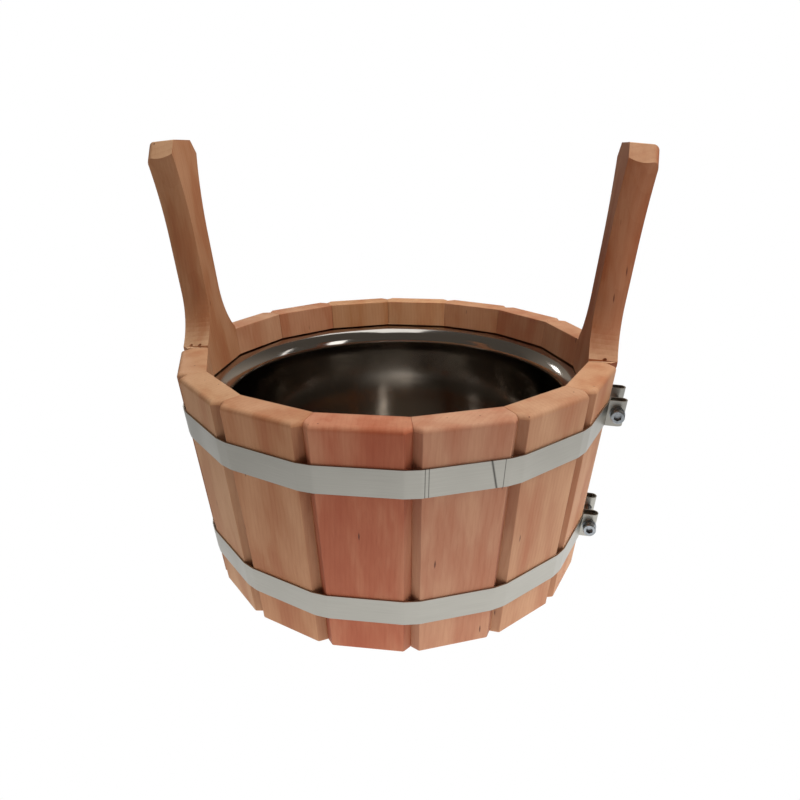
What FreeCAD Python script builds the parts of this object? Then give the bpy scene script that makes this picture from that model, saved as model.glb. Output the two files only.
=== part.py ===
import FreeCAD, Part
import math
import os

# Two-handled coopered wash tub with a stainless insert
# Millimetres, +Z up, origin on the floor at the centre of the base
# The handles stand on -X and +X, the hoop clamps beside the +X handle

# Tub body
stave_count = 16
base_corner_radius = 155.5
rim_corner_radius = 172.0
tub_height = 175.0
stave_thickness = 21.0
joint_groove_width = 10.6
joint_groove_depth = 4.5
rim_edge_radius = 3.5
foot_edge_chamfer = 1.2

# Handles, which are the two opposite staves running on upwards
left_handle_length = 153
right_handle_length = 148.7
shank_width = 24.8
handle_foot_inset = 0.4
handle_foot_rise = 40.0
handle_flare_drop = 60.0
handle_head_width = 41.6
handle_corner_width = 7.0
handle_corner_height = 9.5
handle_outer_edge_radius = 2.5
handle_inner_edge_radius = 1.6

# Wooden bottom
chime_height = 14.0
bottom_thickness = 14.0
croze_depth = 3.5
croze_clearance = 0.3
board_count = 4
dowel_diameter = 8.0
dowel_length = 36.0
dowel_clearance = 0.1
dowel_end_clearance = 1.0
dowel_spacing_share = 0.5

# Stainless insert
insert_sheet = 0.8
insert_flange_height = 149.7
insert_flange_seat = 3.2
insert_flange_width = 11.6
insert_side_clearance = 5.5
insert_shoulder_radius = 9
insert_floor_radius = 18.0
insert_floor_clearance = 2.5
flange_groove_height = 2.1
flange_groove_clearance = 1.0

# Hoops
hoop_width = 20.0
hoop_thickness = 1.0
upper_hoop_height = 139.2
lower_hoop_height = 37.4
upper_clamp_azimuth = math.radians(-8.0)
lower_clamp_azimuth = math.radians(-5.9)

# Folded ears at the ends of a hoop
ear_gap = 19.4
ear_depth = 8.5
ear_rise = 5.5
ear_bend_radius = 3.2
screw_standoff = 7.4

# Clamp screw, washer and nut
screw_diameter = 5.9
screw_length = 50.0
screw_head_diameter = 10.0
screw_head_height = 6.0
screw_edge_chamfer = 0.5
screw_tip_chamfer = 0.8
socket_width = 5.0
socket_depth = 3.0
ear_hole_clearance = 0.35
washer_diameter = 11.0
washer_thickness = 1.6
washer_clearance = 0.25
nut_width = 10.0
nut_height = 5.0
nut_clearance = 0.05
seat_clearance = 0.05
hex_count = 6

# Length by which every cutting tool overruns what it cuts
overrun = 5.0

# How near an edge lies to the plane that it is looked for on
plane_tolerance = 0.005

# Sizes worked out from those above
half_angle = math.pi / stave_count
taper = (rim_corner_radius - base_corner_radius) / tub_height
groove_half = joint_groove_width / 2
floor_top = chime_height + bottom_thickness
ear_outer = ear_gap / 2 + ear_depth

X_AXIS = FreeCAD.Vector(1, 0, 0)
Y_AXIS = FreeCAD.Vector(0, 1, 0)
Z_AXIS = FreeCAD.Vector(0, 0, 1)
ORIGIN = FreeCAD.Vector(0, 0, 0)


# Heights to radii of the polygon that the staves form
def corner_radius(z):
    return base_corner_radius + taper * z


def outer_apothem(z):
    return corner_radius(z) * math.cos(half_angle)


def inner_apothem(z):
    return outer_apothem(z) - stave_thickness


def inner_corner_radius(z):
    return inner_apothem(z) / math.cos(half_angle)


# Polyline with rounded corners, as a closed wire
def rounded_wire(points, radii):
    edges = []
    ends = []
    for index, point in enumerate(points):
        radius = radii[index]
        if radius == 0:
            ends.append((point, point))
            continue
        back = (points[index - 1] - point).normalize()
        ahead = (points[(index + 1) % len(points)] - point).normalize()
        half_turn = back.getAngle(ahead) / 2
        reach = radius / math.tan(half_turn)
        inward = (back + ahead).normalize()
        middle = point + inward * (radius / math.sin(half_turn) - radius)
        start = point + back * reach
        end = point + ahead * reach
        edges.append(Part.Arc(start, middle, end).toShape())
        ends.append((start, end))
    for index, (start, end) in enumerate(ends):
        next_start = ends[(index + 1) % len(ends)][0]
        if (next_start - end).Length > Part.Precision.confusion():
            edges.append(Part.LineSegment(end, next_start).toShape())
    return Part.Wire(Part.__sortEdges__(edges))


# Solid between two polygons of as many corners, with flat sides
def prismatoid(low_points, high_points):
    faces = [Part.Face(Part.makePolygon(end + [end[0]])) for end in (low_points, high_points)]
    for index in range(len(low_points)):
        after = (index + 1) % len(low_points)
        side = [low_points[index], low_points[after], high_points[after], high_points[index]]
        faces.append(Part.Face(Part.makePolygon(side + [side[0]])))
    solid = Part.makeSolid(Part.makeShell(faces))
    if solid.Volume < 0:
        solid.reverse()
    return solid


# Ring with a rectangular section about the tub's axis
def ring(inner_radius, outer_radius, low, high):
    outside = Part.makeCylinder(outer_radius, high - low, FreeCAD.Vector(0, 0, low), Z_AXIS)
    inside = Part.makeCylinder(inner_radius, high - low, FreeCAD.Vector(0, 0, low), Z_AXIS)
    return outside.cut(inside)


def turned(shape, angle):
    copy = shape.copy()
    copy.rotate(ORIGIN, Z_AXIS, math.degrees(angle))
    return copy


# Section of the stave on +X at one height, chamfered where its neighbours meet it
def stave_section(z):
    outer = outer_apothem(z)
    inner = inner_apothem(z)
    edge = corner_radius(z) * math.sin(half_angle) - groove_half / math.cos(half_angle)
    apex = corner_radius(z) - groove_half * math.tan(half_angle) - joint_groove_depth
    half = [
        (inner, inner * math.tan(half_angle)),
        (apex * math.cos(half_angle), apex * math.sin(half_angle)),
        (outer, edge),
    ]
    mirrored = [(out, -along) for out, along in reversed(half)]
    return [FreeCAD.Vector(out, along, z) for out, along in half + mirrored]


# The croze that holds the bottom and the groove that traps the insert's flange
def stave_grooves():
    croze = ring(
        inner_apothem(0) - overrun,
        inner_corner_radius(floor_top) + croze_depth,
        chime_height,
        floor_top,
    )
    flange = ring(
        inner_apothem(0) - overrun,
        inner_corner_radius(insert_flange_height) + insert_flange_seat + flange_groove_clearance,
        insert_flange_height,
        insert_flange_height + flange_groove_height,
    )
    return [croze, flange]


# Edges of a solid that lie across the outer face of the +X stave at one height
def outer_edges_at(solid, z):
    found = []
    for edge in solid.Edges:
        box = edge.BoundBox
        level = abs(box.ZMin - z) < plane_tolerance and abs(box.ZMax - z) < plane_tolerance
        if level and box.XMin > outer_apothem(z) - plane_tolerance:
            found.append(edge)
    return found


def plain_stave():
    stave = prismatoid(stave_section(0), stave_section(tub_height))
    stave = stave.makeFillet(rim_edge_radius, outer_edges_at(stave, tub_height))
    stave = stave.makeChamfer(foot_edge_chamfer, outer_edges_at(stave, 0))
    return stave.cut(stave_grooves())


# Radius of the arc that swells by one length over another, tangent to a straight at its start
def swell_radius(swell, run):
    return (swell ** 2 + run ** 2) / (2 * swell)


def swell_at(radius, run):
    return radius - math.sqrt(radius ** 2 - run ** 2)


# Outline of a handle in the plane of its stave: foot arcs, shank, flare arcs and cut corners
def handle_outline(length):
    shank = shank_width / 2
    head = handle_head_width / 2
    foot = inner_apothem(tub_height) * math.tan(half_angle) - handle_foot_inset
    foot_radius = swell_radius(foot - shank, handle_foot_rise)
    flare_radius = swell_radius(head - shank, handle_flare_drop)
    corner = length - handle_corner_height
    flare_start = corner - handle_flare_drop

    def foot_point(side, rise):
        swell = swell_at(foot_radius, handle_foot_rise - rise)
        return FreeCAD.Vector(0, side * (shank + swell), rise)

    def flare_point(side, rise):
        swell = swell_at(flare_radius, rise - flare_start)
        return FreeCAD.Vector(0, side * (shank + swell), rise)

    edges = []
    tips = []
    heels = []
    for side in (-1, 1):
        foot_arc = [foot_point(side, rise) for rise in (-overrun, handle_foot_rise / 2, handle_foot_rise)]
        flare_middle = flare_start + handle_flare_drop / 2
        flare_arc = [flare_point(side, rise) for rise in (flare_start, flare_middle, corner)]
        tip = FreeCAD.Vector(0, side * (head - handle_corner_width), length)
        edges.append(Part.Arc(*foot_arc).toShape())
        edges.append(Part.LineSegment(foot_arc[-1], flare_arc[0]).toShape())
        edges.append(Part.Arc(*flare_arc).toShape())
        edges.append(Part.LineSegment(flare_arc[-1], tip).toShape())
        heels.append(foot_arc[0])
        tips.append(tip)
    edges.append(Part.LineSegment(*heels).toShape())
    edges.append(Part.LineSegment(*tips).toShape())
    return Part.Wire(Part.__sortEdges__(edges))


# Edges round one face of the handle's blank, all but the one at its lower end
def blank_edges(blank, x):
    found = []
    for edge in blank.Edges:
        box = edge.BoundBox
        on_face = abs(box.XMin - x) < plane_tolerance and abs(box.XMax - x) < plane_tolerance
        if on_face and box.ZMax > plane_tolerance - overrun:
            found.append(edge)
    return found


# Handle sawn square to its plank, rounded over, then leant out to the stave's slope
def handle(length):
    blank = Part.Face(handle_outline(length)).extrude(X_AXIS * -stave_thickness)
    blank = blank.makeFillet(handle_outer_edge_radius, blank_edges(blank, 0))
    blank = blank.makeFillet(handle_inner_edge_radius, blank_edges(blank, -stave_thickness))
    blank.rotate(ORIGIN, Y_AXIS, math.degrees(math.atan(taper * math.cos(half_angle))))
    blank.translate(FreeCAD.Vector(outer_apothem(tub_height), 0, tub_height))
    return blank


def handle_stave(length):
    stave = prismatoid(stave_section(0), stave_section(tub_height))
    stave = stave.makeChamfer(foot_edge_chamfer, outer_edges_at(stave, 0))
    stave = stave.cut(stave_grooves())
    reach = rim_corner_radius + length
    above = Part.makeBox(reach, 2 * reach, reach, FreeCAD.Vector(0, -reach, tub_height))
    return stave.fuse(handle(length).common(above)).removeSplitter()


# Round bottom of boards that lie along Y, side by side across X
def board_edges():
    radius = inner_corner_radius(floor_top) + croze_depth - croze_clearance
    width = 2 * radius / board_count
    return radius, [-radius + width * index for index in range(board_count + 1)]


def dowel_places():
    radius, edges = board_edges()
    reach = radius * dowel_spacing_share
    return [(x, y) for x in edges[1:-1] for y in (-reach, reach)]


def dowel(radius, length):
    height = chime_height + bottom_thickness / 2
    parts = []
    for x, y in dowel_places():
        start = FreeCAD.Vector(x - length / 2, y, height)
        parts.append(Part.makeCylinder(radius, length, start, X_AXIS))
    return Part.makeCompound(parts)


def bottom_boards():
    radius, edges = board_edges()
    thickness = bottom_thickness - croze_clearance
    disc = Part.makeCylinder(radius, thickness, FreeCAD.Vector(0, 0, chime_height), Z_AXIS)
    holes = dowel(dowel_diameter / 2 + dowel_clearance, dowel_length + 2 * dowel_end_clearance)
    disc = disc.cut(holes)
    boards = []
    for low, high in zip(edges, edges[1:]):
        slab = Part.makeBox(
            high - low, 2 * radius + overrun, thickness + overrun,
            FreeCAD.Vector(low, -radius - overrun / 2, chime_height - overrun / 2),
        )
        boards.append(disc.common(slab))
    return boards


# Pressed bowl: flat flange, rounded shoulder, drawn wall and a floor with a round corner
def insert_bowl():
    low = floor_top + insert_floor_clearance
    high = insert_flange_height
    brim = inner_corner_radius(high) + insert_flange_seat
    mouth = inner_apothem(high) - insert_flange_width
    base = inner_apothem(low) - insert_side_clearance
    profile = [
        (0, low), (base, low), (mouth, high),
        (brim, high), (brim, high + insert_sheet), (mouth - insert_sheet, high + insert_sheet),
        (base - insert_sheet, low + insert_sheet), (0, low + insert_sheet),
    ]
    radii = [
        0, insert_floor_radius + insert_sheet, insert_shoulder_radius,
        0, 0, insert_shoulder_radius + insert_sheet,
        insert_floor_radius, 0,
    ]
    points = [FreeCAD.Vector(radius, 0, z) for radius, z in profile]
    return Part.Face(rounded_wire(points, radii)).revolve(ORIGIN, Z_AXIS, 360)


# Corners of a hoop's outline at one height: flats on the staves, short bridges over the grooves
def hoop_corners(z, offset):
    points = []
    reach = offset / math.cos(half_angle / 2)
    edge = corner_radius(z) * math.sin(half_angle) - groove_half / math.cos(half_angle)
    for index in range(stave_count):
        facing = 2 * half_angle * index
        out = FreeCAD.Vector(math.cos(facing), math.sin(facing), 0)
        along = FreeCAD.Vector(-math.sin(facing), math.cos(facing), 0)
        for side in (-1, 1):
            mitre_angle = facing + side * half_angle / 2
            mitre = FreeCAD.Vector(math.cos(mitre_angle), math.sin(mitre_angle), 0)
            place = out * outer_apothem(z) + along * (side * edge) + mitre * reach
            points.append(place + FreeCAD.Vector(0, 0, z))
    return points


# Place of a clamp: its screw is level and square to the radius at the clamp's azimuth
def clamp_frame(azimuth, height):
    radial = FreeCAD.Vector(math.cos(azimuth), math.sin(azimuth), 0)
    tangent = FreeCAD.Vector(-math.sin(azimuth), math.cos(azimuth), 0)
    radius = outer_apothem(height) / math.cos(azimuth) + screw_standoff
    return radial, tangent, radial * radius + FreeCAD.Vector(0, 0, height)


# One folded ear, as a bent strip whose legs stand square to the screw
def ear(azimuth, height, side):
    radial, tangent, centre = clamp_frame(azimuth, height)
    low = height - hoop_width / 2
    lean = radial * (taper * hoop_width) + Z_AXIS * hoop_width
    foot = centre + radial * (taper * (low - height)) + Z_AXIS * (low - height)
    depth = screw_standoff + hoop_thickness + stave_thickness

    def loop(inset):
        near = side * (ear_gap / 2 + inset)
        far = side * (ear_outer - inset)
        tip = ear_rise - inset
        corners = [(near, -depth), (far, -depth), (far, tip), (near, tip)]
        points = [foot + tangent * v + radial * r for v, r in corners]
        bend = ear_bend_radius + hoop_thickness - inset
        return Part.Face(rounded_wire(points, [0, 0, bend, bend])).extrude(lean)

    return loop(0).cut(loop(hoop_thickness))


def hoop(azimuth, height):
    low = height - hoop_width / 2
    high = height + hoop_width / 2
    band = prismatoid(hoop_corners(low, hoop_thickness), hoop_corners(high, hoop_thickness))
    core = prismatoid(hoop_corners(low - overrun, 0), hoop_corners(high + overrun, 0))
    radial, tangent, centre = clamp_frame(azimuth, height)
    band = band.fuse([ear(azimuth, height, side) for side in (-1, 1)])
    band = band.cut(core)
    opening = Part.makeBox(ear_gap, 2 * ear_gap, 2 * hoop_width)
    opening.translate(FreeCAD.Vector(-ear_gap / 2, -ear_gap, -hoop_width))
    opening.Placement = FreeCAD.Placement(centre, FreeCAD.Rotation(tangent, radial, Z_AXIS)).multiply(
        opening.Placement)
    reach = ear_outer + overrun
    hole = Part.makeCylinder(
        screw_diameter / 2 + ear_hole_clearance, 2 * reach, centre - tangent * reach, tangent)
    return band.cut([opening, hole]).removeSplitter()


# Six-sided prism standing on its own origin along +Z
def hex_prism(width, height):
    corner = width / 2 / math.cos(math.pi / hex_count)
    points = []
    for index in range(hex_count):
        angle = 2 * math.pi * index / hex_count
        points.append(FreeCAD.Vector(corner * math.cos(angle), corner * math.sin(angle), 0))
    return Part.Face(Part.makePolygon(points + [points[0]])).extrude(Z_AXIS * height)


# Turned blank with a chamfered edge at its far end
def chamfered_rod(radius, length, chamfer):
    points = [
        FreeCAD.Vector(0, 0, 0), FreeCAD.Vector(radius, 0, 0), FreeCAD.Vector(radius, 0, length - chamfer),
        FreeCAD.Vector(radius - chamfer, 0, length), FreeCAD.Vector(0, 0, length),
    ]
    return Part.Face(Part.makePolygon(points + [points[0]])).revolve(ORIGIN, Z_AXIS, 360)


# Cap screw along +Z with the underside of its head at zero
def cap_screw():
    head = chamfered_rod(screw_head_diameter / 2, screw_head_height, screw_edge_chamfer)
    socket = hex_prism(socket_width, socket_depth + overrun)
    socket.translate(Z_AXIS * (screw_head_height - socket_depth))
    head = head.cut(socket)
    head.rotate(ORIGIN, X_AXIS, math.degrees(math.pi))
    return head.fuse(chamfered_rod(screw_diameter / 2, screw_length, screw_tip_chamfer)).removeSplitter()


def washer():
    disc = Part.makeCylinder(washer_diameter / 2, washer_thickness)
    return disc.cut(Part.makeCylinder(screw_diameter / 2 + washer_clearance, washer_thickness))


def nut():
    corner = nut_width / 2 / math.cos(math.pi / hex_count)
    chamfer = corner - nut_width / 2
    turned_blank = chamfered_rod(corner, nut_height, chamfer)
    blank = hex_prism(nut_width, nut_height).common(turned_blank)
    return blank.cut(Part.makeCylinder(screw_diameter / 2 + nut_clearance, nut_height))


# Stand a piece that was made along +Z on the screw's line, a distance past the clamp's middle
def on_screw(shape, azimuth, height, distance):
    radial, tangent, centre = clamp_frame(azimuth, height)
    turn = FreeCAD.Rotation(radial, Z_AXIS.cross(radial), tangent, "ZXY")
    placed = shape.copy()
    placed.Placement = FreeCAD.Placement(centre + tangent * distance, turn)
    return placed


def build():
    nodes = {}
    stave = plain_stave()
    nodes["handle_stave_right"] = handle_stave(right_handle_length)
    nodes["handle_stave_left"] = turned(handle_stave(left_handle_length), math.pi)
    half_count = stave_count // 2
    for index in range(1, half_count):
        nodes["stave_back_%d" % index] = turned(stave, 2 * half_angle * index)
        nodes["stave_front_%d" % index] = turned(stave, -2 * half_angle * index)
    for index, board in enumerate(bottom_boards()):
        nodes["bottom_board_%d" % (index + 1)] = board
    nodes["bottom_dowels"] = dowel(dowel_diameter / 2, dowel_length)
    nodes["insert_bowl"] = insert_bowl()
    clamps = {
        "upper": (upper_clamp_azimuth, upper_hoop_height),
        "lower": (lower_clamp_azimuth, lower_hoop_height),
    }
    for name, (azimuth, height) in clamps.items():
        washer_place = -ear_outer - washer_thickness
        nodes["hoop_" + name] = hoop(azimuth, height)
        nodes["clamp_washer_" + name] = on_screw(washer(), azimuth, height, washer_place)
        nodes["clamp_screw_" + name] = on_screw(cap_screw(), azimuth, height, washer_place - seat_clearance)
        nodes["clamp_nut_" + name] = on_screw(nut(), azimuth, height, ear_outer + seat_clearance)
    return nodes


os.makedirs("parts", exist_ok=True)
for node, shape in build().items():
    shape.exportStep("parts/%s.step" % node)
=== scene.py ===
import math
import random

import bmesh
import bpy
from mathutils import Matrix, Vector


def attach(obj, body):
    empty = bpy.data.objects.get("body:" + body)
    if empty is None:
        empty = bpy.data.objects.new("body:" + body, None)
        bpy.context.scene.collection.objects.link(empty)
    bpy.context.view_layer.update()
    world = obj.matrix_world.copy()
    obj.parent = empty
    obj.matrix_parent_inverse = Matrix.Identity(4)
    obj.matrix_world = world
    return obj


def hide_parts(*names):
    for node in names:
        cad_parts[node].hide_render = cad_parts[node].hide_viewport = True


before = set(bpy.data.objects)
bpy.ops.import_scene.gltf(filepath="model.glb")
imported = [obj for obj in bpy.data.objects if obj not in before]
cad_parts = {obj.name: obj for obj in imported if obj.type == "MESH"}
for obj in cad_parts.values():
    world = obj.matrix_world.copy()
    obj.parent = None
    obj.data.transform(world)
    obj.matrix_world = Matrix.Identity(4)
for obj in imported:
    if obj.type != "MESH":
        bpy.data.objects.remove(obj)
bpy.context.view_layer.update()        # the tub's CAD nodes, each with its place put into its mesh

# Staves
# Fourteen boards of one pattern in red alder, mitred to a sixteen-sided round that widens upwards.
# Each is planed flat, chamfered at both outer edges, rounded over at the rim and sanded, and has
# two grooves turned inside: the croze for the bottom and a narrow one for the insert's flange.
stave_count = 16
mitre = math.pi / stave_count
tub_height = 0.175
foot_corner = 0.1555
rim_corner = 0.172
stave_thickness = 0.021
joint_groove_width = 0.0106
joint_groove_depth = 0.0045
rim_round = 0.0035
foot_chamfer = 0.0012
sanded_edge = 0.0005
chime_height = 0.014
floor_top = 0.028
croze_radius = 0.1402
flange_groove = (0.1497, 0.1518)
flange_groove_radius = 0.1524
spread = (rim_corner - foot_corner) / tub_height
lean = math.atan(spread * math.cos(mitre))
axis = Vector((0, 0, 1))
same_place = 0.00002
plane_slack = 0.000001


def outer_face(height):
    """How far the staves' outer faces lie from the axis at a height."""
    return (foot_corner + spread * height) * math.cos(mitre)


def begin(name):
    """The new primitive gets its name and its place goes into its mesh, open for editing."""
    piece = bpy.context.object
    piece.name = name
    piece.data.name = name
    bpy.ops.object.transform_apply(location=True, rotation=True, scale=True)
    bpy.ops.object.mode_set(mode="EDIT")
    return piece


def mark(kind, wanted):
    """Selects just the VERT, EDGE or FACE items that pass a test."""
    bpy.ops.mesh.select_mode(type=kind)
    bpy.ops.mesh.select_all(action="DESELECT")
    work = bmesh.from_edit_mesh(bpy.context.object.data)
    items = {"VERT": work.verts, "EDGE": work.edges, "FACE": work.faces}[kind]
    for item in items:
        if wanted(item):
            item.select_set(True)
    bmesh.update_edit_mesh(bpy.context.object.data)


def saw(point, waste):
    """Cuts all that is open along a plane and drops the side that waste points to."""
    bpy.ops.mesh.select_all(action="SELECT")
    bpy.ops.mesh.bisect(plane_co=point, plane_no=Vector(waste).normalized(), threshold=plane_slack,
                        use_fill=True, clear_outer=True)


def work_over(piece, kind, **settings):
    """Puts one modifier on a piece and applies it."""
    tool = piece.modifiers.new(kind.title(), kind)
    for name, value in settings.items():
        setattr(tool, name, value)
    bpy.context.view_layer.objects.active = piece
    bpy.ops.object.modifier_apply(modifier=tool.name)


def cut_away(piece, cutter, operation="DIFFERENCE"):
    """Cuts a cutter out of a piece, or joins it on, and clears the cutter away."""
    work_over(piece, "BOOLEAN", object=cutter, operation=operation, solver="EXACT")
    bpy.data.objects.remove(cutter)


def near(value, target):
    return abs(value - target) < same_place


def mitred_board(name):
    """A leaning plank sawn to both mitres and both ends, with its two groove chamfers planed."""
    middle = tub_height / 2
    bpy.ops.object.select_all(action="DESELECT")
    bpy.ops.mesh.primitive_cube_add(
        size=1,
        location=(outer_face(middle) - stave_thickness / 2, 0, middle),
        rotation=(0, lean, 0),
        scale=(stave_thickness * math.cos(lean), rim_corner / 2, 2 * tub_height),
    )
    piece = begin(name)
    for side in (-1, 1):
        saw((0, 0, 0), (-math.sin(mitre), side * math.cos(mitre), 0))
    saw((0, 0, 0), -axis)
    saw((0, 0, tub_height), axis)
    for side in (-1, 1):
        corner = Vector((math.cos(mitre), side * math.sin(mitre), 0))
        face_edge = foot_corner * math.sin(mitre) - joint_groove_width / 2 / math.cos(mitre)
        shoulder = Vector((outer_face(0), side * face_edge, 0))
        root = corner * (foot_corner - joint_groove_width / 2 * math.tan(mitre) - joint_groove_depth)
        waste = (corner * spread + axis).cross(root - shoulder)
        saw(shoulder, waste if waste.dot(corner) > 0 else -waste)
    return piece


def faces_out(edge):
    """Whether an edge of the board that lies towards +X borders its outer face."""
    return any(face.normal.x > 0.3 and abs(face.normal.z) < 0.5 for face in edge.link_faces)


def round_rim():
    """Rounds the rim's outer edge over."""
    mark("EDGE", lambda edge: all(near(v.co.z, tub_height) for v in edge.verts) and faces_out(edge))
    bpy.ops.mesh.bevel(offset=rim_round, segments=6, profile=0.5, affect="EDGES")


def chamfer_foot():
    """Breaks the outer edge on which the board stands."""
    mark("EDGE", lambda edge: all(near(v.co.z, 0) for v in edge.verts) and faces_out(edge))
    bpy.ops.mesh.bevel(offset=foot_chamfer, segments=1, affect="EDGES")


def turn_grooves(piece):
    """Turns the croze and the flange groove with two discs."""
    for radius, low, high in (
        (croze_radius, chime_height, floor_top),
        (flange_groove_radius, flange_groove[0], flange_groove[1]),
    ):
        bpy.ops.object.select_all(action="DESELECT")
        bpy.ops.mesh.primitive_cylinder_add(
            vertices=256, radius=radius, depth=high - low, location=(0, 0, (low + high) / 2))
        disc = begin("groove_cutter")
        bpy.ops.object.mode_set(mode="OBJECT")
        cut_away(piece, disc)


def hex_colour(code):
    """The linear colour of an sRGB hex value."""
    parts = [int(code[place:place + 2], 16) / 255 for place in (1, 3, 5)]
    return tuple(c / 12.92 if c <= 0.04045 else ((c + 0.055) / 1.055) ** 2.4 for c in parts) + (1.0,)


def add_node(material, kind, inputs=None, **settings):
    """Adds one shader node, with its settings, and its inputs as numbers, colours or links."""
    new = material.node_tree.nodes.new(kind)
    for name, value in settings.items():
        setattr(new, name, value)
    for name, value in (inputs or {}).items():
        if isinstance(value, bpy.types.NodeSocket):
            material.node_tree.links.new(value, new.inputs[name])
        else:
            new.inputs[name].default_value = value
    return new


def new_material(name):
    """A material with an empty node tree."""
    material = bpy.data.materials.new(name)
    material.use_nodes = True
    material.node_tree.nodes.clear()
    return material


def mix(material, factor, colour, other, blend="MIX"):
    """Lays one colour over another by a factor, each a value or a link."""
    both = add_node(material, "ShaderNodeMix", data_type="RGBA", blend_type=blend, clamp_result=True)
    sockets = [socket for socket in both.inputs if socket.enabled]
    for socket, value in zip(sockets, (factor, colour, other)):
        if isinstance(value, bpy.types.NodeSocket):
            material.node_tree.links.new(value, socket)
        else:
            socket.default_value = value
    return [socket for socket in both.outputs if socket.enabled][0]


def share(material, value, low, high, most):
    """A value between low and high as a share from nought to the most."""
    spread_out = add_node(material, "ShaderNodeMapRange", {
        "Value": value, "From Min": low, "From Max": high, "To Min": 0.0, "To Max": most})
    return spread_out.outputs["Result"]


def sanded_alder(name, tone=None, turn=(0, 0, 0), roughness=0.62):
    """Red alder, planed and sanded, left bare: a close even wood in pinkish browns that vary from
    board to board, with faint growth rings, fine fibre streaks and short dark pith flecks.
    Without a tone it follows each board's own place and colour."""
    ring_gap = 0.0032
    fibre_width = 0.0012
    fibre_length = 0.070
    fleck_gap = 0.0070
    fleck_length = 0.050
    wood = new_material(name)
    if tone is None:
        place = add_node(wood, "ShaderNodeAttribute", attribute_name="board").outputs["Vector"]
        base = add_node(wood, "ShaderNodeAttribute", attribute_name="tone").outputs["Color"]
    else:
        body = add_node(wood, "ShaderNodeTexCoord").outputs["Object"]
        place = add_node(wood, "ShaderNodeMapping", {"Vector": body, "Rotation": turn}).outputs["Vector"]
        base = hex_colour(tone)
    drift = add_node(wood, "ShaderNodeTexNoise", {"Vector": place, "Scale": 9.0, "Detail": 2.0})
    drift = add_node(wood, "ShaderNodeVectorMath", {0: drift.outputs["Color"], 1: (0.007, 0.007, 0.014)},
                     operation="MULTIPLY")
    wavy = add_node(wood, "ShaderNodeVectorMath", {0: place, 1: drift.outputs["Vector"]}, operation="ADD")
    wavy = wavy.outputs["Vector"]
    heart = add_node(wood, "ShaderNodeMapping", {
        "Vector": wavy, "Location": (0.012, 0.050, 0.0), "Rotation": (math.radians(5), math.radians(3), 0)})
    rings = add_node(wood, "ShaderNodeTexWave", {
        "Vector": heart.outputs["Vector"], "Scale": 1 / ring_gap / 3.2, "Distortion": 2.0, "Detail": 2.0,
        "Detail Scale": 1.2}, wave_type="RINGS", rings_direction="Z", wave_profile="SAW")
    along = add_node(wood, "ShaderNodeMapping", {
        "Vector": wavy, "Scale": (1 / fibre_width, 1 / fibre_width, 1 / fibre_length)})
    fibres = add_node(wood, "ShaderNodeTexNoise", {
        "Vector": along.outputs["Vector"], "Scale": 1.0, "Detail": 4.0, "Roughness": 0.6})
    broad = add_node(wood, "ShaderNodeMapping", {"Vector": wavy, "Scale": (42.0, 42.0, 9.0)})
    blush = add_node(wood, "ShaderNodeTexNoise", {
        "Vector": broad.outputs["Vector"], "Scale": 1.0, "Detail": 3.0, "Roughness": 0.55})
    cells = add_node(wood, "ShaderNodeMapping", {
        "Vector": wavy, "Scale": (1 / fleck_gap, 1 / fleck_gap, 1 / fleck_length)})
    spots = add_node(wood, "ShaderNodeTexVoronoi", {"Vector": cells.outputs["Vector"], "Scale": 1.0})
    near_spot = share(wood, spots.outputs["Distance"], 0.095, 0.045, 0.9)
    chance = add_node(wood, "ShaderNodeSeparateColor", {"Color": spots.outputs["Color"]})
    rare = add_node(wood, "ShaderNodeMath", {0: blush.outputs["Fac"], 1: -1.2, 2: 1.2},
                    operation="MULTIPLY_ADD")
    few = add_node(wood, "ShaderNodeMath", {0: chance.outputs["Red"], 1: rare.outputs["Value"]},
                   operation="GREATER_THAN")
    fleck = add_node(wood, "ShaderNodeMath", {0: near_spot, 1: few.outputs["Value"]}, operation="MULTIPLY")
    colour = mix(wood, share(wood, blush.outputs["Fac"], 0.45, 0.75, 0.35), base, hex_colour("#E2B894"))
    colour = mix(wood, share(wood, blush.outputs["Fac"], 0.50, 0.25, 0.75), colour,
                 hex_colour("#E8BCA6"), blend="MULTIPLY")
    colour = mix(wood, share(wood, rings.outputs["Fac"], 0.50, 1.0, 0.16), colour,
                 hex_colour("#DDBCA8"), blend="MULTIPLY")
    colour = mix(wood, share(wood, fibres.outputs["Fac"], 0.42, 0.75, 0.22), colour,
                 hex_colour("#D8B7A4"), blend="MULTIPLY")
    colour = mix(wood, fleck.outputs["Value"], colour, hex_colour("#552A1C"))
    relief = add_node(wood, "ShaderNodeBump", {
        "Height": fibres.outputs["Fac"], "Strength": 0.12, "Distance": 0.0004})
    surface = add_node(wood, "ShaderNodeBsdfPrincipled", {
        "Base Color": colour, "Roughness": roughness, "IOR": 1.45, "Normal": relief.outputs["Normal"]})
    add_node(wood, "ShaderNodeOutputMaterial", {"Surface": surface.outputs["BSDF"]})
    return wood


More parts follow.
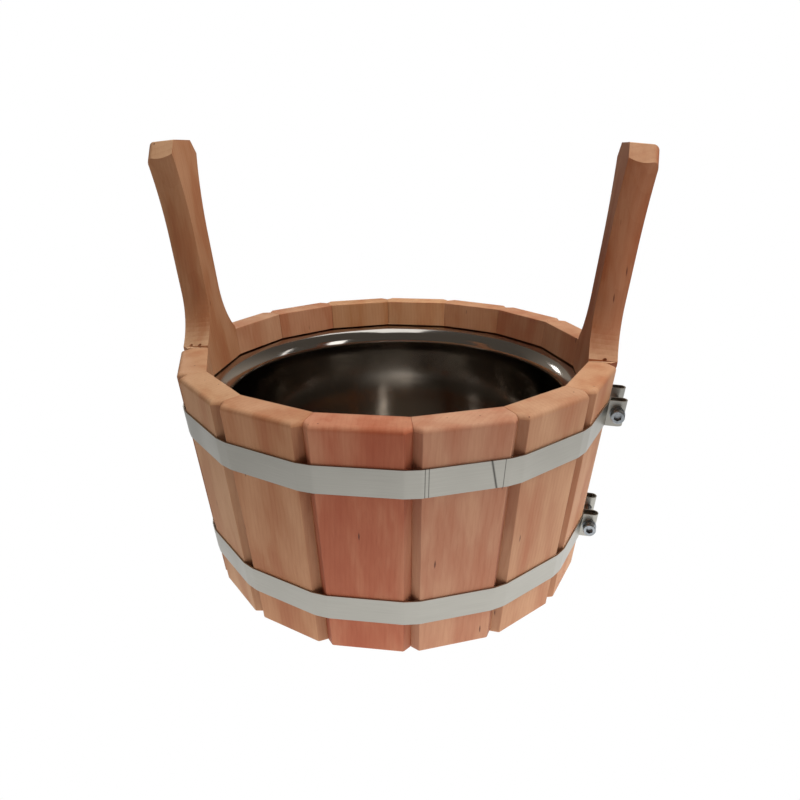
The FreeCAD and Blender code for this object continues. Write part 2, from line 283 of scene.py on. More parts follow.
def lay_grain(piece, tone, turn, end_grain=0.15):
    """Gives a board its own place in the grain, with the fibres along its length, and its colour,
    which is paler where the cut goes across the fibres, with painted shade in the planed joint grooves."""
    mesh = piece.data
    mesh.attributes.new("board", "FLOAT_VECTOR", "POINT")
    mesh.attributes.new("tone", "FLOAT_COLOR", "CORNER")
    place, colour = mesh.attributes["board"], mesh.attributes["tone"]
    side_tone, end_tone = Vector(hex_colour(tone)), Vector(hex_colour("#DDBB95"))
    groove_shade_tone = Vector(hex_colour("#7A3A22"))
    shift = Vector((chances.uniform(-2, 2), chances.uniform(-0.02, 0.02), chances.uniform(-2, 2)))
    for point in mesh.vertices:
        place.data[point.index].vector = turn @ point.co + shift
    for face in mesh.polygons:
        across_fibres = abs((turn @ face.normal).z)
        pale = min(max((across_fibres - 0.35) / 0.5, 0), 1) * end_grain
        face_tone = side_tone.lerp(end_tone, pale)
        # Painted shade: the faces of the joint grooves are darkened towards a deep red brown, as if in
        # shadow.
        if 0.4 < abs(face.normal.y) < 0.85 and abs(face.normal.z) < 0.3:
            face_tone = face_tone.lerp(groove_shade_tone, 0.35)
        for corner in face.loop_indices:
            colour.data[corner].color = face_tone


def set_board(pattern, name, angle, tone, end_grain=0.15):
    """A copy of a pattern board with its own mesh and grain, turned to its place in the round."""
    piece = bpy.data.objects.new(name + "_alder", pattern.data.copy())
    bpy.context.scene.collection.objects.link(piece)
    piece.data.name = piece.name
    lay_grain(piece, tone, Matrix.Rotation(math.radians(90), 3, "Z"), end_grain)
    piece.data.transform(Matrix.Rotation(angle, 4, "Z"))
    piece.data.materials.clear()
    piece.data.materials.append(stave_wood)
    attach(piece, "tub")
    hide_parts(name)


stave_wood = sanded_alder("sanded_alder")
chances = random.Random(7)
pattern = mitred_board("stave_pattern")
round_rim()
chamfer_foot()
bpy.ops.object.mode_set(mode="OBJECT")
work_over(pattern, "BEVEL", width=sanded_edge, segments=2, limit_method="ANGLE",
          angle_limit=math.radians(25))
turn_grooves(pattern)
front_tones = ["#C58E68", "#BF8B69", "#C1896C", "#B8694A", "#B87F59", "#C0906A", "#BC8863"]
back_tones = ["#B97E5C", "#BA7F5E", "#BE825C", "#CB9266", "#C0865A", "#BA7C58", "#BB8461"]
for number, (front, back) in enumerate(zip(front_tones, back_tones), start=1):
    set_board(pattern, "stave_front_%d" % number, -2 * mitre * number, front)
    set_board(pattern, "stave_back_%d" % number, 2 * mitre * number, back)
bpy.data.objects.remove(pattern)

# Handle staves
# Two boards of the same alder that stand opposite each other and run on above the rim as handles.
# They are band-sawn to a slim shank with a flared head, planed to a crown across both sawn edges,
# cut off at the head's corners and sanded round by hand, so one came out a little longer.
left_handle_length = 0.1528
right_handle_length = 0.1487
shank_width = 0.0248
head_width = 0.0416
foot_rise = 0.040
foot_inset = 0.0004
flare_drop = 0.060
corner_width = 0.007
corner_height = 0.0095
edge_crown = 0.0026
head_round = 0.0055
outer_round = 0.0022
inner_round = 0.0010
heel = -0.004


def swell(most, run, distance):
    """How far an arc that swells by the most over a run has swelled at a distance along it."""
    radius = (most ** 2 + run ** 2) / (2 * most)
    return radius - math.sqrt(radius ** 2 - distance ** 2)


def handle_half_width(rise, length):
    """Half the handle's width: an arc in from the foot, the slim shank, an arc out to the head."""
    foot = (outer_face(tub_height) - stave_thickness) * math.tan(mitre) - foot_inset
    half = shank_width / 2
    flare_start = length - corner_height - flare_drop
    if rise < foot_rise:
        half += swell(foot - shank_width / 2, foot_rise, foot_rise - rise)
    if rise > flare_start:
        half += swell((head_width - shank_width) / 2, flare_drop, rise - flare_start)
    return half


def score(places, point, normal):
    """Marks cut lines across all that is open, at places along a normal from a point."""
    for place in places:
        bpy.ops.mesh.select_all(action="SELECT")
        bpy.ops.mesh.bisect(plane_co=point + normal * place, plane_no=normal, threshold=plane_slack)


def sand_round(point, face, next_face, radius):
    """Sands the edge where two faces meet round, in five flats; point is on that edge."""
    face, next_face = Vector(face).normalized(), Vector(next_face).normalized()
    centre = point - (face + next_face) * radius / (1 + face.dot(next_face))
    for step in range(1, 6):
        turn = face.slerp(next_face, step / 6)
        saw(centre + turn * radius, turn)


def handle_blank(name, length):
    """The handle above the rim, first as an upright plank whose outer face is at x = 0."""
    corner = length - corner_height
    rises = [heel] + [foot_rise * step / 12 for step in range(13)]
    rises += [corner - flare_drop * (1 - step / 12) for step in range(13)] + [length]
    half_depth = stave_thickness / 2
    columns = [half_depth * quarter / 4 for quarter in range(-3, 4)]
    middle = Vector((-half_depth, 0, 0))
    bpy.ops.object.select_all(action="DESELECT")
    bpy.ops.mesh.primitive_cube_add(
        size=1, location=middle + axis * (length + heel) / 2,
        scale=(stave_thickness, head_width, length - heel))
    piece = begin(name)
    score(rises[1:-1], Vector(), axis)
    score(columns, middle, Vector((1, 0, 0)))
    for rise in rises:
        mark("VERT", lambda vert: near(vert.co.z, rise))
        scale = handle_half_width(min(max(rise, 0), corner), length) / (head_width / 2)
        bpy.ops.transform.resize(value=(1, scale, 1))
        crown = edge_crown * min(max(rise / foot_rise, 0), 1)
        for column in columns:
            bulge = crown * (1 - (column / half_depth) ** 2)
            for side in (-1, 1):
                mark("VERT", lambda vert: near(vert.co.z, rise) and near(vert.co.x, column - half_depth)
                     and vert.co.y * side > 0)
                bpy.ops.transform.translate(value=(0, side * bulge, 0))
    outward = (1, 0, 0)
    for side in (-1, 1):
        tip = Vector((0, side * (head_width / 2 - corner_width), length))
        facet = (0, side * corner_height, corner_width)
        saw(tip, facet)
        sand_round(tip, outward, facet, head_round)
        sand_round(tip, facet, axis, inner_round)
    sand_round(tip, outward, axis, head_round)
    mark("EDGE", lambda edge: edge.calc_face_angle(0) > math.radians(30)
         and all(heel / 2 < v.co.z < corner and near(v.co.x, 0) for v in edge.verts))
    bpy.ops.transform.edge_bevelweight(value=1)
    mark("EDGE", lambda edge: edge.calc_face_angle(0) > math.radians(30)
         and all(heel / 2 < v.co.z and not near(v.co.x, 0) for v in edge.verts))
    bpy.ops.transform.edge_bevelweight(value=inner_round / outer_round)
    bpy.ops.object.mode_set(mode="OBJECT")
    work_over(piece, "BEVEL", width=outer_round, segments=3, limit_method="WEIGHT")
    piece.rotation_euler = (0, lean, 0)
    piece.location = (outer_face(tub_height), 0, tub_height)
    bpy.ops.object.transform_apply(location=True, rotation=True, scale=True)
    return piece


def handle_board(name, length, front, chips):
    """A board and its handle in one piece, with small tear-outs where the saw left the foot. Each
    is its share of the board's thickness in from the outer face, its rise and its depth."""
    board = mitred_board(name)
    chamfer_foot()
    bpy.ops.object.mode_set(mode="OBJECT")
    cut_away(board, handle_blank("handle_blank", length), operation="UNION")
    turn_grooves(board)
    for inset, rise, depth in chips:
        bpy.ops.object.select_all(action="DESELECT")
        bpy.ops.mesh.primitive_ico_sphere_add(
            subdivisions=1, radius=depth, scale=(0.9, 0.5, 1.0),
            location=(outer_face(tub_height) - inset * stave_thickness,
                      front * handle_half_width(rise, length), tub_height + rise),
            rotation=(0.3, 0.2, 0.4))
        cutter = begin("chip_cutter")
        bpy.ops.object.mode_set(mode="OBJECT")
        cut_away(board, cutter)
    return board


right_board = handle_board("right_board", right_handle_length, -1, [(0.45, 0.0008, 0.0025)])
left_board = handle_board("left_board", left_handle_length, 1,
                          [(0.68, 0.0008, 0.0025), (0.32, 0.0008, 0.0021)])

for board, node, angle, tone in (
    (right_board, "handle_stave_right", 0, "#AC6843"),
    (left_board, "handle_stave_left", math.pi, "#B27A54"),
):
    set_board(board, node, angle, tone, end_grain=0.75)
    bpy.data.objects.remove(board)

# Bottom boards and dowels
# Four alder boards planed flat and held side by side in the croze, with a fine chamfer along
# every joint, and beech dowels between them. They show only from below, inside the chime.
board_count = 4
board_top = 0.0277
board_reach = 0.13993
joint_chamfer = 0.0008
bottom_tones = ["#B5876A", "#A9765A", "#B08064", "#A4705A"]
bottom_wood = sanded_alder("planed_alder", roughness=0.7)
for number, tone in enumerate(bottom_tones):
    near_edge = board_reach * (2 * number / board_count - 1)
    far_edge = near_edge + 2 * board_reach / board_count
    bpy.ops.object.select_all(action="DESELECT")
    bpy.ops.mesh.primitive_cylinder_add(
        vertices=256, radius=board_reach, depth=board_top - chime_height,
        location=(0, 0, (board_top + chime_height) / 2))
    board = begin("bottom_board_%d_planed" % (number + 1))
    saw((near_edge, 0, 0), (-1, 0, 0))
    saw((far_edge, 0, 0), (1, 0, 0))
    mark("EDGE", lambda edge: edge.calc_face_angle(0) > math.radians(60)
         and abs(edge.verts[0].co.y - edge.verts[1].co.y) > board_reach / 4)
    bpy.ops.mesh.bevel(offset=joint_chamfer, segments=1, affect="EDGES")
    bpy.ops.object.mode_set(mode="OBJECT")
    lay_grain(board, tone, Matrix.Rotation(math.radians(90), 3, "X"))
    board.data.materials.append(bottom_wood)
    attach(board, "tub")
    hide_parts("bottom_board_%d" % (number + 1))
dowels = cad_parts["bottom_dowels"]
dowels.data.materials.clear()
dowels.data.materials.append(sanded_alder("turned_beech", tone="#C9A27C"))

# Insert
# A deep round bowl drawn from 0.8 mm stainless sheet and polished to a satin shine. Its flat
# flange lies in the staves' inner groove, which traps it when the hoops are closed.
sheet = 0.0008
bowl_floor = 0.0313
bowl_base = 0.12803
bowl_mouth = 0.13296
flange_top = 0.1505
flange_edge = 0.1527
flange_inner = 0.149
floor_rings = (0.09, 0.06, 0.03, 0.012)
floor_bend = 0.018
shoulder_bend = 0.0145
bowl_steps = 192


def bowl_profile():
    """Radius and height of the bowl's inside, from the flange's edge in to the middle of the floor."""
    tilt = math.atan((bowl_mouth - bowl_base) / (flange_top - bowl_floor))
    points = [(flange_edge, flange_top), (flange_inner, flange_top)]
    reach = shoulder_bend * math.tan((math.pi / 2 - tilt) / 2)
    middle = Vector((bowl_mouth + reach, flange_top - shoulder_bend))
    for step in range(9):
        turn = math.pi / 2 + (math.pi / 2 - tilt) * step / 8
        points.append((middle.x + shoulder_bend * math.cos(turn), middle.y + shoulder_bend * math.sin(turn)))
    reach = floor_bend * math.tan((math.pi / 2 - tilt) / 2)
    middle = Vector((bowl_base - reach, bowl_floor + floor_bend))
    start = math.pi * 2 - tilt
    low = Vector((middle.x + floor_bend * math.cos(start), middle.y + floor_bend * math.sin(start)))
    high = Vector(points[-1])
    points += [tuple(high.lerp(low, step / 8)) for step in range(1, 8)]
    for step in range(13):
        turn = start - (math.pi / 2 - tilt) * step / 12
        points.append((middle.x + floor_bend * math.cos(turn), middle.y + floor_bend * math.sin(turn)))
    points += [(radius, bowl_floor) for radius in floor_rings]
    return points


profile = bowl_profile()
bpy.ops.object.select_all(action="DESELECT")
bpy.ops.mesh.primitive_circle_add(vertices=bowl_steps, radius=profile[0][0], location=(0, 0, profile[0][1]))
bowl = begin("insert_bowl_sheet")
for (radius, height), (next_radius, next_height) in zip(profile, profile[1:]):
    bpy.ops.mesh.extrude_edges_move(TRANSFORM_OT_translate={"value": (0, 0, next_height - height)})
    bpy.ops.transform.resize(value=(next_radius / radius, next_radius / radius, 1))
bpy.ops.mesh.merge(type="CENTER")
bpy.ops.mesh.select_all(action="SELECT")
bpy.ops.mesh.normals_make_consistent(inside=False)
bpy.ops.object.mode_set(mode="OBJECT")
upward = sum(face.normal.z for face in bowl.data.polygons if face.center.z < bowl_floor + sheet)
if upward < 0:
    bowl.data.flip_normals()
work_over(bowl, "SOLIDIFY", thickness=sheet, offset=-1.0, use_even_offset=True)
bpy.ops.object.shade_smooth_by_angle(angle=math.radians(50))


def drawn_stainless(name, colour, roughness):
    """Stainless drawn on a press and polished: a grey that is a touch warm, smooth along the wall,
    with faint rings from the polishing wheel and a slightly uneven gloss."""
    steel = new_material(name)
    body = add_node(steel, "ShaderNodeTexCoord").outputs["Object"]
    rings = add_node(steel, "ShaderNodeMapping", {"Vector": body, "Scale": (3.0, 3.0, 900.0)})
    rings = add_node(steel, "ShaderNodeTexNoise", {
        "Vector": rings.outputs["Vector"], "Scale": 1.0, "Detail": 3.0})
    patches = add_node(steel, "ShaderNodeTexNoise", {"Vector": body, "Scale": 22.0, "Detail": 3.0})
    gloss = add_node(steel, "ShaderNodeMapRange", {
        "Value": patches.outputs["Fac"], "From Min": 0.3, "From Max": 0.7,
        "To Min": roughness - 0.03, "To Max": roughness + 0.05})
    relief = add_node(steel, "ShaderNodeBump", {
        "Height": rings.outputs["Fac"], "Strength": 0.015, "Distance": 0.0002})
    surface = add_node(steel, "ShaderNodeBsdfPrincipled", {
        "Base Color": hex_colour(colour), "Metallic": 1.0, "Roughness": gloss.outputs["Result"],
        "Normal": relief.outputs["Normal"]})
    add_node(steel, "ShaderNodeOutputMaterial", {"Surface": surface.outputs["BSDF"]})
    return steel


bowl.data.materials.append(drawn_stainless("drawn_stainless", "#B5B0A9", 0.11))
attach(bowl, "tub")
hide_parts("insert_bowl")

# Hoops
# Two strips of 1 mm stainless, 20 mm wide, drawn tight round the staves: flat on each board, with
# a short straight bridge over each groove. Both ends are folded out, over and back into an ear,
# and drilled for the screw.
hoop_width = 0.020
hoop_thickness = 0.001
bridge_bend = 0.0009
ear_gap = 0.0194
ear_depth = 0.0085
ear_rise = 0.0055
ear_bend = 0.0037
foot_bend = 0.0015
standoff = 0.0074
screw_hole = 0.0033
drill_reach = 0.03
clamps = {
    "upper": (math.radians(-8.0), 0.1392),
    "lower": (math.radians(-5.9), 0.0374),
}


def clamp_lines(azimuth, height):
    """The way out from the tub, the way along the screw, and the middle of the screw's line."""
    out = Vector((math.cos(azimuth), math.sin(azimuth), 0))
    along = Vector((-math.sin(azimuth), math.cos(azimuth), 0))
    return out, along, out * (outer_face(height) / math.cos(azimuth) + standoff) + axis * height


def upright(edge):
    """Whether an edge crosses the strip from one side to the other."""
    return abs(edge.verts[0].co.z - edge.verts[1].co.z) > hoop_width / 2


def closed_band(name, height, offset):
    """The strip's middle surface, closed round the staves and bent at both edges of each groove."""
    low, high = height - hoop_width / 2, height + hoop_width / 2
    low_corner = (outer_face(low) + offset) / math.cos(mitre)
    high_corner = (outer_face(high) + offset) / math.cos(mitre)
    bpy.ops.object.select_all(action="DESELECT")
    bpy.ops.mesh.primitive_cylinder_add(
        vertices=stave_count, radius=low_corner, depth=hoop_width, location=(0, 0, height),
        rotation=(0, 0, mitre), end_fill_type="NOTHING")
    piece = begin(name)
    mark("VERT", lambda vert: vert.co.z > height)
    bpy.ops.transform.resize(value=(high_corner / low_corner, high_corner / low_corner, 1))
    mark("EDGE", upright)
    bpy.ops.mesh.bevel(offset=joint_groove_width / 2 / math.cos(mitre), segments=1, affect="EDGES")
    mark("EDGE", upright)
    bpy.ops.mesh.bevel(offset=bridge_bend, segments=3, affect="EDGES")
    return piece


def fold_ears(out, along, middle, offset):
    """Opens the band at the clamp and folds each end out, over and back down to the band."""
    leg = ear_gap / 2 + offset
    over = ear_depth - hoop_thickness

    def side_of(vert):
        return (vert.co - middle).dot(along)

    for place in (-leg - over, -leg, leg, leg + over):
        mark("FACE", lambda face: face.calc_center_median().dot(out) > 0)
        bpy.ops.mesh.bisect(plane_co=middle + along * place, plane_no=along, threshold=plane_slack)
    mark("FACE", lambda face: face.calc_center_median().dot(out) > 0
         and abs((face.calc_center_median() - middle).dot(along)) < leg)
    bpy.ops.mesh.delete(type="FACE")
    tip = middle.dot(out) + ear_rise - offset
    work = bmesh.from_edit_mesh(bpy.context.object.data)
    for side in (-1, 1):
        levels = []
        for place in (leg, leg + over):
            level = [v.co.dot(out) for v in work.verts
                     if v.co.dot(out) > 0 and near(side_of(v), side * place)]
            levels.append(sum(level) / len(level))
        mark("EDGE", lambda edge: all(near(side_of(v), side * leg) and v.co.dot(out) > 0 for v in edge.verts))
        for step in (out * (tip - levels[0]), along * (side * over), out * (levels[1] + offset - tip)):
            bpy.ops.mesh.extrude_edges_move(TRANSFORM_OT_translate={"value": step})
        work = bmesh.from_edit_mesh(bpy.context.object.data)
    mark("EDGE", lambda edge: upright(edge) and len(edge.link_faces) == 2 and all(
        v.co.dot(out) > middle.dot(out) and leg - 0.001 < abs(side_of(v)) < leg + over + 0.001
        for v in edge.verts))
    bpy.ops.mesh.bevel(offset=ear_bend, segments=6, affect="EDGES")
    mark("EDGE", lambda edge: upright(edge) and len(edge.link_faces) == 2
         and edge.calc_face_angle(0) > math.radians(60) and all(
             v.co.dot(out) < middle.dot(out) and near(abs(side_of(v)), leg) for v in edge.verts))
    bpy.ops.mesh.bevel(offset=foot_bend, segments=4, affect="EDGES")


def rolled_strip(name, dents):
    """Cold-rolled stainless strip: a satin grey with fine streaks along the strip, a slightly
    uneven gloss, and the thin creases and the dent that it got when it was drawn round the tub, pressed in
    with the bump and darkened with painted shade. Each is its angle round the tub, its slant and its half
    width as an angle."""
    steel = new_material(name)
    body = add_node(steel, "ShaderNodeTexCoord").outputs["Object"]
    parts = add_node(steel, "ShaderNodeSeparateXYZ", {"Vector": body})
    round_angle = add_node(steel, "ShaderNodeMath", {0: parts.outputs["Y"], 1: parts.outputs["X"]},
                           operation="ARCTAN2").outputs["Value"]
    strip = add_node(steel, "ShaderNodeCombineXYZ", {"X": round_angle, "Z": parts.outputs["Z"]})
    rolled = add_node(steel, "ShaderNodeMapping", {
        "Vector": strip.outputs["Vector"], "Scale": (5.0, 1.0, 1600.0)})
    streaks = add_node(steel, "ShaderNodeTexNoise", {
        "Vector": rolled.outputs["Vector"], "Scale": 1.0, "Detail": 3.0})
    patches = add_node(steel, "ShaderNodeTexNoise", {"Vector": body, "Scale": 30.0, "Detail": 3.0})
    gloss = add_node(steel, "ShaderNodeMapRange", {
        "Value": patches.outputs["Fac"], "From Min": 0.3, "From Max": 0.7, "To Min": 0.30, "To Max": 0.40})
    colour = mix(steel, share(steel, streaks.outputs["Fac"], 0.35, 0.70, 0.22),
                 hex_colour("#C2BFB6"), hex_colour("#A29F97"))
    height = streaks.outputs["Fac"]
    for place, slant, width in dents:
        line = add_node(steel, "ShaderNodeMath", {0: parts.outputs["Z"], 1: -slant, 2: round_angle},
                        operation="MULTIPLY_ADD").outputs["Value"]
        gap = add_node(steel, "ShaderNodeMath", {0: line, 1: place}, operation="SUBTRACT").outputs["Value"]
        gap = add_node(steel, "ShaderNodeMath", {0: gap}, operation="ABSOLUTE").outputs["Value"]
        # Painted shade: each crease and the dent darken the strip's colour along their line; the same mask
        # presses them in through the bump.
        crease_and_shade = share(steel, gap, width, 0.0, 1.0)
        colour = mix(steel, crease_and_shade, colour, hex_colour("#4E4C48"))
        height = add_node(steel, "ShaderNodeMath", {0: crease_and_shade, 1: -1.5, 2: height},
                          operation="MULTIPLY_ADD").outputs["Value"]
    relief = add_node(steel, "ShaderNodeBump", {"Height": height, "Strength": 0.10, "Distance": 0.0002})
    surface = add_node(steel, "ShaderNodeBsdfPrincipled", {
        "Base Color": colour, "Metallic": 1.0, "Roughness": gloss.outputs["Result"],
        "Normal": relief.outputs["Normal"]})
    add_node(steel, "ShaderNodeOutputMaterial", {"Surface": surface.outputs["BSDF"]})
    return steel


def rod_along(name, sides, radius, start, end, line, twist=0.0):
    """A rod or prism on a clamp's screw line, from start to end measured along it from the middle."""
    out, along, middle = line
    bpy.ops.object.select_all(action="DESELECT")
    bpy.ops.mesh.primitive_cylinder_add(vertices=sides, radius=radius, depth=end - start)
    piece = begin(name)
    bpy.ops.object.mode_set(mode="OBJECT")
    stand = Matrix((out, along.cross(out), along)).transposed().to_4x4()
    piece.data.transform(Matrix.Translation(middle + along * (start + end) / 2) @ stand
                         @ Matrix.Rotation(twist, 4, "Z"))
    return piece


hoop_dents = {
    "upper": [(-1.333, 0.0, 0.0024), (-1.319, 0.0, 0.0024), (-0.8774, -1.4, 0.0065), (-1.033, 0.0, 0.0022)],
    "lower": [],
}
for level, (azimuth, height) in clamps.items():
    offset = hoop_thickness / 2
    line = clamp_lines(azimuth, height)
    hoop = closed_band("hoop_strip_" + level, height, offset)
    fold_ears(*line, offset)
    bpy.ops.object.mode_set(mode="OBJECT")
    work_over(hoop, "SOLIDIFY", thickness=hoop_thickness, offset=0.0, use_even_offset=True)
    drill = rod_along("drill", 48, screw_hole, -drill_reach, drill_reach, line)
    cut_away(hoop, drill)
    bpy.ops.object.shade_smooth_by_angle(angle=math.radians(28))
    hoop.data.materials.append(rolled_strip("rolled_strip_" + level, hoop_dents[level]))
    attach(hoop, "tub")
    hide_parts("hoop_" + level)

# Clamp screws, washers and nuts
# On each hoop an M6 socket-head cap screw with a washer under its head and a hexagon nut on the
# far ear. The head has a hexagon socket, the shank is plain up to the last 24 mm, which carry the
# thread, and all are zinc-plated. Screws and nuts turn and travel on their own bodies.
ear_outer = 0.0182
seat = 0.00005
washer_thickness = 0.0016
washer_radius = 0.0055
washer_hole = 0.0032
head_radius = 0.005
head_height = 0.006
socket_width = 0.005
socket_depth = 0.003
head_sides = 96
screw_radius = 0.00295
thread_core = 0.00242
thread_root = 0.00237
thread_length = 0.024
thread_turns = 23
thread_pitch = 0.001
screw_end = 0.03015
nut_width = 0.010
nut_height = 0.005
nut_bore = 0.0030
head_edge = 0.0006
fine_edge = 0.00025
overcut = 0.001
ridge_share = 0.46


def mark_across(line, place):
    """Marks the edges that lie square across the screw's line at a place along it."""
    out, along, middle = line
    mark("EDGE", lambda edge: all(near((v.co - middle).dot(along), place) for v in edge.verts))


def thread_ridge(line, start):
    """The thread's ridge: a small triangle wound round the screw's line, closed at both ends."""
    out, along, middle = line
    depth = screw_radius - thread_root
    bpy.ops.object.select_all(action="DESELECT")
    bpy.ops.mesh.primitive_circle_add(vertices=3, radius=1)
    piece = begin("thread_ridge")
    bpy.ops.object.mode_set(mode="OBJECT")
    piece.data.transform(Matrix((
        (0, depth / 1.5, 0, thread_root + depth / 3), (0, 0, 1, 0),
        (ridge_share * thread_pitch / math.cos(math.radians(30)), 0, 0, 0), (0, 0, 0, 1))))
    work_over(piece, "SCREW", axis="Z", angle=math.radians(360), screw_offset=thread_pitch,
              iterations=thread_turns, steps=24, render_steps=24)
    bpy.ops.object.mode_set(mode="EDIT")
    bpy.ops.mesh.select_all(action="SELECT")
    bpy.ops.mesh.fill_holes(sides=3)
    bpy.ops.mesh.select_all(action="SELECT")
    bpy.ops.mesh.normals_make_consistent(inside=False)
    bpy.ops.object.mode_set(mode="OBJECT")
    stand = Matrix((out, along.cross(out), along)).transposed().to_4x4()
    piece.data.transform(Matrix.Translation(middle + along * start) @ stand)
    return piece


def zinc_plated(name):
    """Steel with a thin clear-passivated zinc plating: a cool grey, a little uneven in its gloss."""
    steel = new_material(name)
    body = add_node(steel, "ShaderNodeTexCoord").outputs["Object"]
    patches = add_node(steel, "ShaderNodeTexNoise", {"Vector": body, "Scale": 400.0, "Detail": 3.0})
    gloss = add_node(steel, "ShaderNodeMapRange", {
        "Value": patches.outputs["Fac"], "From Min": 0.3, "From Max": 0.7, "To Min": 0.24, "To Max": 0.38})
    colour = mix(steel, share(steel, patches.outputs["Fac"], 0.35, 0.70, 0.6),
                 hex_colour("#B9BEC2"), hex_colour("#8C9196"))
    surface = add_node(steel, "ShaderNodeBsdfPrincipled", {
        "Base Color": colour, "Metallic": 1.0, "Roughness": gloss.outputs["Result"]})
    add_node(steel, "ShaderNodeOutputMaterial", {"Surface": surface.outputs["BSDF"]})
    return steel


plated = zinc_plated("zinc_plated_steel")
for level, (azimuth, height) in clamps.items():
    line = clamp_lines(azimuth, height)
    seat_place = -ear_outer - washer_thickness - seat
    head_place = seat_place - head_height
    head = rod_along("cap_screw_" + level, head_sides, head_radius, head_place, seat_place, line)
    socket = rod_along("socket_cutter", 6, socket_width / math.sqrt(3), head_place - overcut,
                       head_place + socket_depth, line)
    bpy.context.view_layer.objects.active = head
    bpy.ops.object.mode_set(mode="EDIT")
    mark_across(line, head_place)
    bpy.ops.mesh.bevel(offset=head_edge, segments=2, affect="EDGES")
    mark_across(line, seat_place)
    bpy.ops.mesh.bevel(offset=fine_edge, segments=1, affect="EDGES")
    bpy.ops.object.mode_set(mode="OBJECT")
    cut_away(head, socket)
    thread_start = screw_end - thread_length
    for part in (
        rod_along("shank", 96, screw_radius, seat_place - fine_edge, thread_start, line),
        rod_along("thread_core", 96, thread_core, thread_start - fine_edge, screw_end, line),
        thread_ridge(line, thread_start),
    ):
        cut_away(head, part, operation="UNION")
    washer = rod_along("flat_washer_" + level, 128, washer_radius, -ear_outer - washer_thickness,
                       -ear_outer, line)
    cut_away(washer, rod_along("washer_cutter", 64, washer_hole, -drill_reach, 0, line))
    nut = rod_along("hex_nut_" + level, 6, nut_width / math.sqrt(3), ear_outer + seat,
                    ear_outer + seat + nut_height, line)
    cut_away(nut, rod_along("nut_cutter", 64, nut_bore, 0, drill_reach, line))
    for piece, body, node in (
        (head, "clamp_screw_" + level, "clamp_screw_" + level),
        (washer, "tub", "clamp_washer_" + level),
        (nut, "clamp_nut_" + level, "clamp_nut_" + level),
    ):
        piece.data.materials.append(plated)
        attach(piece, body)
        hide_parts(node)

# Studio
# A white floor and backdrop that only the camera sees as white, a dim warm room for the steel to
# mirror, a large soft light overhead, smaller ones round the tub, and a narrow one on the inside
# of the back. The camera stands as it did for the photograph.
focal_pixels = 626.68
picture_pixels = 800
camera_place = Vector((0.0692, -0.4849, 0.32135))
camera_turn = math.radians(7.8)
camera_dip = 0.38045
camera_roll = 0.00672
floor_radius = 3.0

lens = bpy.data.cameras.new("camera")
lens.sensor_width = 36
lens.lens = 36 * focal_pixels / picture_pixels
lens.clip_start = 0.01
camera = bpy.data.objects.new("camera", lens)
bpy.context.scene.collection.objects.link(camera)
camera.location = camera_place
camera.rotation_mode = "QUATERNION"
ahead = Vector((-math.sin(camera_turn) * math.cos(camera_dip), math.cos(camera_turn) * math.cos(camera_dip),
                -math.sin(camera_dip)))
level_view = ahead.to_track_quat("-Z", "Y")
camera.rotation_quaternion = level_view @ Matrix.Rotation(-camera_roll, 4, "Z").to_quaternion()
bpy.context.scene.camera = camera

bpy.ops.object.select_all(action="DESELECT")
bpy.ops.mesh.primitive_circle_add(vertices=96, radius=floor_radius, fill_type="NGON")
floor = begin("floor")
bpy.ops.object.mode_set(mode="OBJECT")
paper = new_material("white_sheet")
path = add_node(paper, "ShaderNodeLightPath")
body = add_node(paper, "ShaderNodeTexCoord").outputs["Object"]
away = add_node(paper, "ShaderNodeVectorMath", {0: body}, operation="LENGTH").outputs["Value"]
across = add_node(paper, "ShaderNodeSeparateXYZ", {"Vector": body}).outputs["X"]
# Painted light: for the tub and the steel the floor glows as bounce light, a pool that fades away from the
# tub, with painted shade towards the left.
pool = share(paper, away, 0.95, 0.20, 1.0)
side = add_node(paper, "ShaderNodeMapRange", {
    "Value": across, "From Min": -0.20, "From Max": 0.16, "To Min": 0.62, "To Max": 0.93}).outputs["Result"]
glow = add_node(paper, "ShaderNodeMath", {0: pool, 1: side}, operation="MULTIPLY").outputs["Value"]
bounce = add_node(paper, "ShaderNodeMath", {0: glow, 1: 1.88}, operation="MULTIPLY").outputs["Value"]
mirrored = add_node(paper, "ShaderNodeMath", {0: glow, 1: 1.04}, operation="MULTIPLY").outputs["Value"]
bounce = add_node(paper, "ShaderNodeEmission", {"Color": (1.0, 0.955, 0.875, 1), "Strength": bounce})
mirrored = add_node(paper, "ShaderNodeEmission", {"Strength": mirrored}).outputs["Emission"]
white = add_node(paper, "ShaderNodeEmission", {"Strength": 1.0}).outputs["Emission"]
unseen = add_node(paper, "ShaderNodeMixShader", {
    0: path.outputs["Is Glossy Ray"], 1: bounce.outputs["Emission"], 2: mirrored}).outputs["Shader"]
seen = add_node(paper, "ShaderNodeMixShader", {0: path.outputs["Is Camera Ray"], 1: unseen, 2: white})
below = add_node(paper, "ShaderNodeNewGeometry").outputs["Backfacing"]
clear = add_node(paper, "ShaderNodeBsdfTransparent").outputs["BSDF"]
sheet_side = add_node(paper, "ShaderNodeMixShader", {0: below, 1: seen.outputs["Shader"], 2: clear})
add_node(paper, "ShaderNodeOutputMaterial", {"Surface": sheet_side.outputs["Shader"]})
floor.data.materials.append(paper)

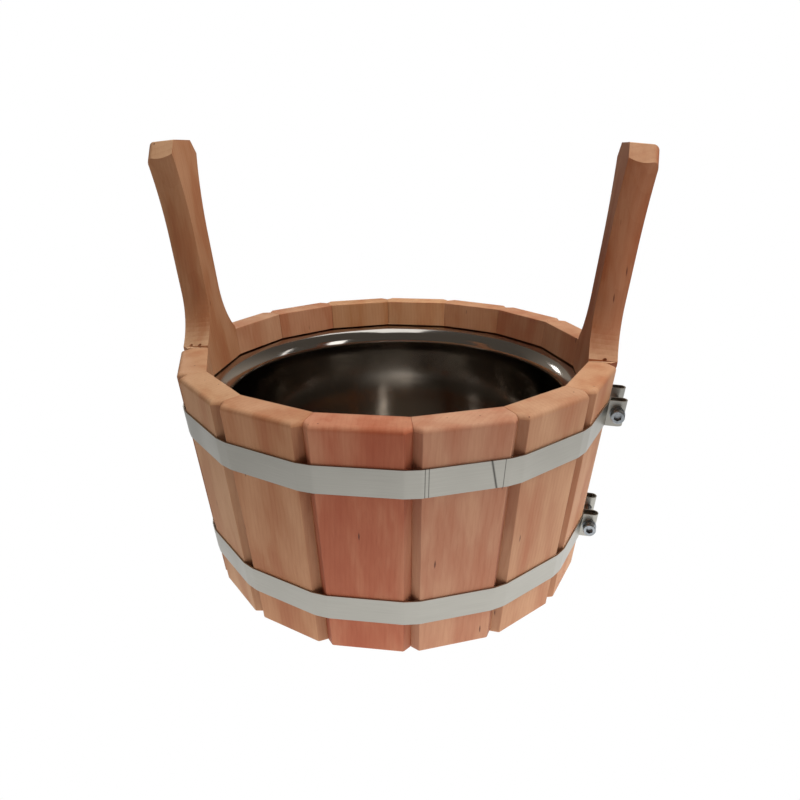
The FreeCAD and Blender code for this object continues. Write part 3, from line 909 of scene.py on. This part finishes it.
world = bpy.data.worlds.new("studio")
world.use_nodes = True
world.node_tree.nodes.clear()
path = add_node(world, "ShaderNodeLightPath")
white = add_node(world, "ShaderNodeBackground", {"Color": (1, 1, 1, 1), "Strength": 1.0})
way = add_node(world, "ShaderNodeTexCoord").outputs["Generated"]
way = add_node(world, "ShaderNodeSeparateXYZ", {"Vector": way})
under = share(world, way.outputs["Z"], 0.0, -0.2, 0.6)
room = add_node(world, "ShaderNodeMath", {0: under, 1: 0.15}, operation="ADD").outputs["Value"]
room = add_node(world, "ShaderNodeBackground", {"Color": (1.0, 0.93, 0.84, 1), "Strength": room})
behind = share(world, way.outputs["Y"], 0.20, 0.90, 1.0)
low = share(world, way.outputs["Z"], 0.75, 0.30, 0.28)
wall = add_node(world, "ShaderNodeMath", {0: behind, 1: low, 2: 0.10}, operation="MULTIPLY_ADD")
wall = add_node(world, "ShaderNodeMath", {0: wall.outputs["Value"], 1: under}, operation="ADD")
wall = wall.outputs["Value"]
wall = add_node(world, "ShaderNodeBackground", {"Color": (1.0, 0.88, 0.76, 1), "Strength": wall})
unseen = add_node(world, "ShaderNodeMixShader", {
    0: path.outputs["Is Glossy Ray"], 1: room.outputs["Background"], 2: wall.outputs["Background"]})
seen = add_node(world, "ShaderNodeMixShader", {
    0: path.outputs["Is Camera Ray"], 1: unseen.outputs["Shader"], 2: white.outputs["Background"]})
add_node(world, "ShaderNodeOutputWorld", {"Surface": seen.outputs["Shader"]})
bpy.context.scene.world = world


def soft_light(name, place, aim, wide, high, power, mirrored=True, beam=180):
    """A soft box at a place, turned to what it lights, with its beam's full angle in degrees;
    unmirrored, no metal shows it."""
    lamp = bpy.data.lights.new(name, "AREA")
    lamp.shape = "RECTANGLE"
    lamp.size = wide
    lamp.size_y = high
    lamp.energy = power
    lamp.spread = math.radians(beam)
    box = bpy.data.objects.new(name, lamp)
    bpy.context.scene.collection.objects.link(box)
    box.location = place
    box.rotation_mode = "QUATERNION"
    box.rotation_quaternion = (Vector(aim) - Vector(place)).to_track_quat("-Z", "Y")
    box.visible_glossy = mirrored


soft_light("overhead", (0.60, -0.05, 1.45), (0, 0, 0.15), 0.9, 0.9, 16, mirrored=False)
soft_light("inner_wall", (0.03, -0.95, 1.05), (0.03, 0.15, 0.165), 0.1, 0.1, 0.022, mirrored=False, beam=17)
soft_light("left_fill", (-1.2, -0.7, 1.1), (0, 0, 0.15), 0.8, 0.8, 3.5, mirrored=False)
soft_light("ceiling_strip", (0.0, 0.25, 1.6), (0, 0, 0.15), 0.45, 1.2, 2.6)
soft_light("right_window", (1.5, -0.9, 0.7), (0, 0, 0.12), 0.5, 0.9, 3)
soft_light("back_window", (-1.0, 1.75, 0.95), (0, 0, 0.1), 0.35, 0.3, 1.6)
soft_light("back_column", (2.0, 0.55, 0.98), (0, 0, 0.1), 0.12, 0.8, 0.9)

bpy.context.scene.view_settings.view_transform = "Standard"
